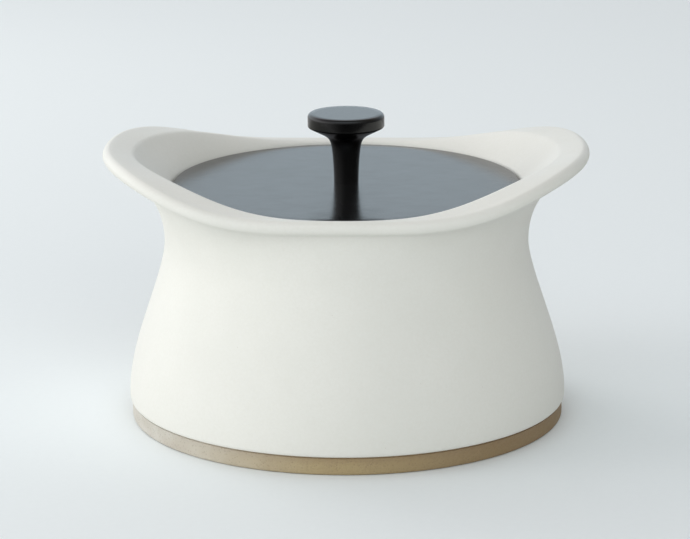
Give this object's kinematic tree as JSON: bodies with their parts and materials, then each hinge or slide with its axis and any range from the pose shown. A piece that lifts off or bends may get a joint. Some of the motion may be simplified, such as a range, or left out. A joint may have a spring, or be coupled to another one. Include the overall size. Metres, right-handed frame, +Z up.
{
  "type": "lidded cooking pot",
  "caption": "Waisted stoneware cooking pot with a saddle rim that rises into side ears, and a flat cast-iron lid with a black knob that lifts straight off.",
  "frame": {"origin": "centre of the foot, on the surface that the pot stands on", "axes": "+Z up along the pot's axis; +X towards one ear; +Y towards the low back of the rim"},
  "size_m": [0.2798, 0.2544, 0.1771],
  "materials": {
    "stoneware": "matte off-white glaze over a bare tan clay foot band",
    "lid_iron": "satin dark grey coating",
    "knob_black": "satin black",
    "insert_brass": "turned",
    "screw_steel": "plain stainless",
    "spring_steel": "plain spring steel",
    "washer_steel": "plain stainless"
  },
  "bodies": {
    "pot": {"pot_body": "stoneware"},
    "lid": {"lid_plate": "lid_iron", "knob": "knob_black", "knob_insert": "insert_brass", "knob_screw": "screw_steel", "spring_washer": "spring_steel", "flat_washer": "washer_steel"}
  },
  "joints": [
    {"name": "lid_lift", "type": "slide", "parent": "pot", "child": "lid", "axis": [0, 0, 1], "range_m": [0, 0.12]}
  ]
}
